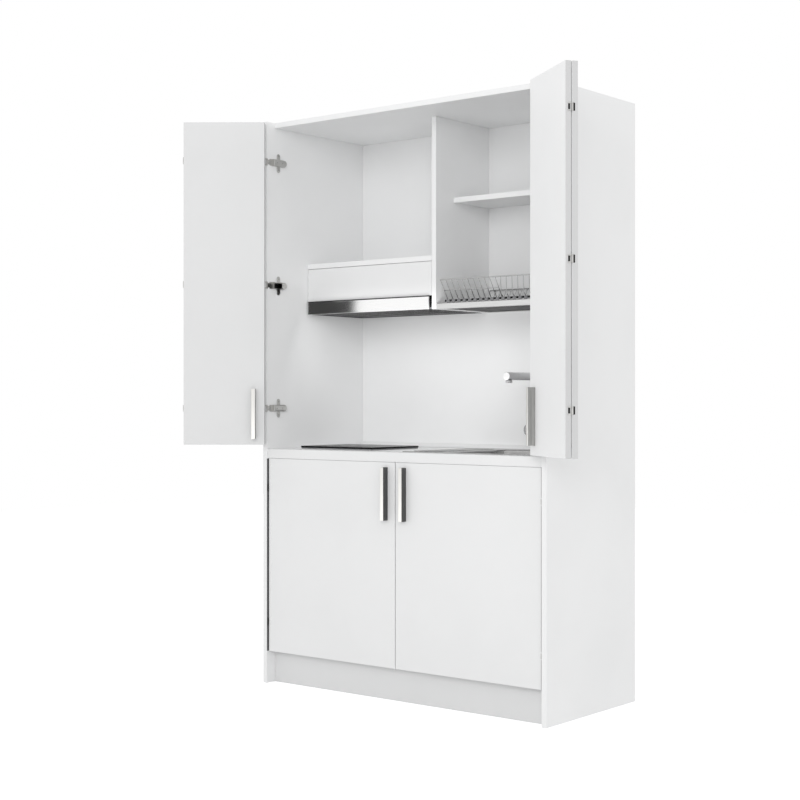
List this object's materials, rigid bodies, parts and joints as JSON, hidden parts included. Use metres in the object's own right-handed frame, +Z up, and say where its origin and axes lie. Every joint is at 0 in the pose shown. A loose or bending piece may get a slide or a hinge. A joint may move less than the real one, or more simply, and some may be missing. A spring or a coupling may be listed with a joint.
{
  "type": "kitchenette unit",
  "caption": "Tall white cabinet with folding upper doors over a worktop with sink, tap and hob, a slide-out hood, a dish rack and hinged doors below.",
  "frame": {"origin": "on the floor in the middle of the carcass footprint, under the middle foot", "axes": "+X to the right as seen from the front, +Y to the wall behind, +Z up"},
  "size_m": [1.6272, 0.7447, 1.99],
  "materials": {
    "white_board": "smooth white laminate on particle board",
    "plinth_board": "smooth pale laminate, in shade",
    "hob_glass": "black glass ceramic, glossy and opaque",
    "hob_base": "satin pressed sheet",
    "sink_steel": "brushed",
    "waste_chrome": "polished",
    "tap_chrome": "polished",
    "trap_plastic": "smooth white",
    "foot_plastic": "moulded black",
    "visor_steel": "satin",
    "hood_sheet": "satin grey paint",
    "filter_mesh": "expanded mesh in a frame",
    "motor_housing": "dark satin",
    "impeller_plastic": "moulded black",
    "rack_frame": "satin anodised",
    "drip_tray": "smooth dark grey",
    "rack_wire": "drawn wire",
    "hinge_steel": "burnished, nickel plated",
    "handle_steel": "brushed"
  },
  "bodies": {
    "carcass": {"side_panel_left": "white_board", "side_panel_right": "white_board", "top_panel": "white_board", "base_panel": "white_board", "plinth_board": "plinth_board", "back_panel": "white_board", "front_rail": "white_board", "rear_rail": "white_board", "middle_foot": "foot_plastic", "worktop": "white_board", "upstand": "white_board", "hob_base": "hob_base", "hob_glass": "hob_glass", "sink": "sink_steel", "waste_fitting": "waste_chrome", "trap": "trap_plastic", "waste_pipe": "trap_plastic", "tap_body": "tap_chrome", "divider_panel": "white_board", "hood_board": "white_board", "dish_shelf": "white_board", "hood_front_panel": "white_board", "hood_body": "hood_sheet", "hood_filter": "filter_mesh", "hood_motor": "motor_housing", "rack_frame": "rack_frame", "drip_tray": "drip_tray", "dish_rack": "rack_wire", "hinge_arm_upper_left_1": "hinge_steel", "hinge_arm_upper_left_2": "hinge_steel", "hinge_arm_upper_left_3": "hinge_steel", "hinge_arm_lower_left_1": "hinge_steel", "hinge_arm_lower_left_2": "hinge_steel", "hinge_arm_upper_right_1": "hinge_steel", "hinge_arm_upper_right_2": "hinge_steel", "hinge_arm_upper_right_3": "hinge_steel", "hinge_arm_lower_right_1": "hinge_steel", "hinge_arm_lower_right_2": "hinge_steel"},
    "outer_leaf_left": {"leaf_outer_left": "white_board", "fold_hinge_left_1": "hinge_steel", "fold_hinge_left_2": "hinge_steel", "fold_hinge_left_3": "hinge_steel"},
    "inner_leaf_left": {"leaf_inner_left": "white_board", "handle_upper_left": "handle_steel"},
    "lower_door_left": {"door_left": "white_board", "handle_lower_left": "handle_steel"},
    "outer_leaf_right": {"leaf_outer_right": "white_board", "fold_hinge_right_1": "hinge_steel", "fold_hinge_right_2": "hinge_steel", "fold_hinge_right_3": "hinge_steel"},
    "inner_leaf_right": {"leaf_inner_right": "white_board", "handle_upper_right": "handle_steel"},
    "lower_door_right": {"door_right": "white_board", "handle_lower_right": "handle_steel"},
    "visor": {"hood_visor": "visor_steel"},
    "impeller": {"hood_impeller": "impeller_plastic"},
    "spout": {"tap_spout": "tap_chrome", "tap_aerator": "tap_chrome"},
    "lever": {"tap_lever": "tap_chrome"},
    "plug": {"sink_plug": "waste_chrome"}
  },
  "joints": [
    {"name": "upper_left_swing", "type": "hinge", "parent": "carcass", "child": "outer_leaf_left", "pos_m": [-0.583, -0.264, 1.411], "axis": [0, 0, 1], "range_deg": [0, 141.5]},
    {"name": "upper_left_fold", "type": "hinge", "parent": "outer_leaf_left", "child": "inner_leaf_left", "pos_m": [-0.79869, -0.46432, 1.411], "axis": [0, 0, 1], "range_deg": [-180, 0]},
    {"name": "lower_left_swing", "type": "hinge", "parent": "carcass", "child": "lower_door_left", "pos_m": [-0.5795, -0.264, 0.4545], "axis": [0, 0, -1], "range_deg": [0, 105]},
    {"name": "upper_right_swing", "type": "hinge", "parent": "carcass", "child": "outer_leaf_right", "pos_m": [0.583, -0.264, 1.411], "axis": [0, 0, -1], "range_deg": [0, 144.8]},
    {"name": "upper_right_fold", "type": "hinge", "parent": "outer_leaf_right", "child": "inner_leaf_right", "pos_m": [0.80986, -0.45157, 1.411], "axis": [0, 0, -1], "range_deg": [-180, 0]},
    {"name": "lower_right_swing", "type": "hinge", "parent": "carcass", "child": "lower_door_right", "pos_m": [0.5795, -0.264, 0.4545], "axis": [0, 0, 1], "range_deg": [0, 105]},
    {"name": "visor_slide", "type": "slide", "parent": "carcass", "child": "visor", "axis": [0, -1, 0], "range_m": [0, 0.15]},
    {"name": "impeller_spin", "type": "hinge", "parent": "carcass", "child": "impeller", "pos_m": [-0.2955, 0.1068, 1.41], "axis": [0, 0, 1], "continuous": true},
    {"name": "spout_swivel", "type": "hinge", "parent": "carcass", "child": "spout", "pos_m": [0.268, 0.198, 1.083], "axis": [0, 0, 1], "range_deg": [-100, 100]},
    {"name": "lever_turn", "type": "hinge", "parent": "carcass", "child": "lever", "pos_m": [0.268, 0.153, 0.902], "axis": [0, -1, 0], "range_deg": [0, 70]},
    {"name": "plug_lift", "type": "slide", "parent": "carcass", "child": "plug", "axis": [0, 0, 1], "range_m": [0, 0.02]}
  ],
  "couplings": [
    {"joint": "upper_left_fold", "follows": "upper_left_swing", "ratio": -1.272},
    {"joint": "upper_right_fold", "follows": "upper_right_swing", "ratio": -1.243}
  ]
}
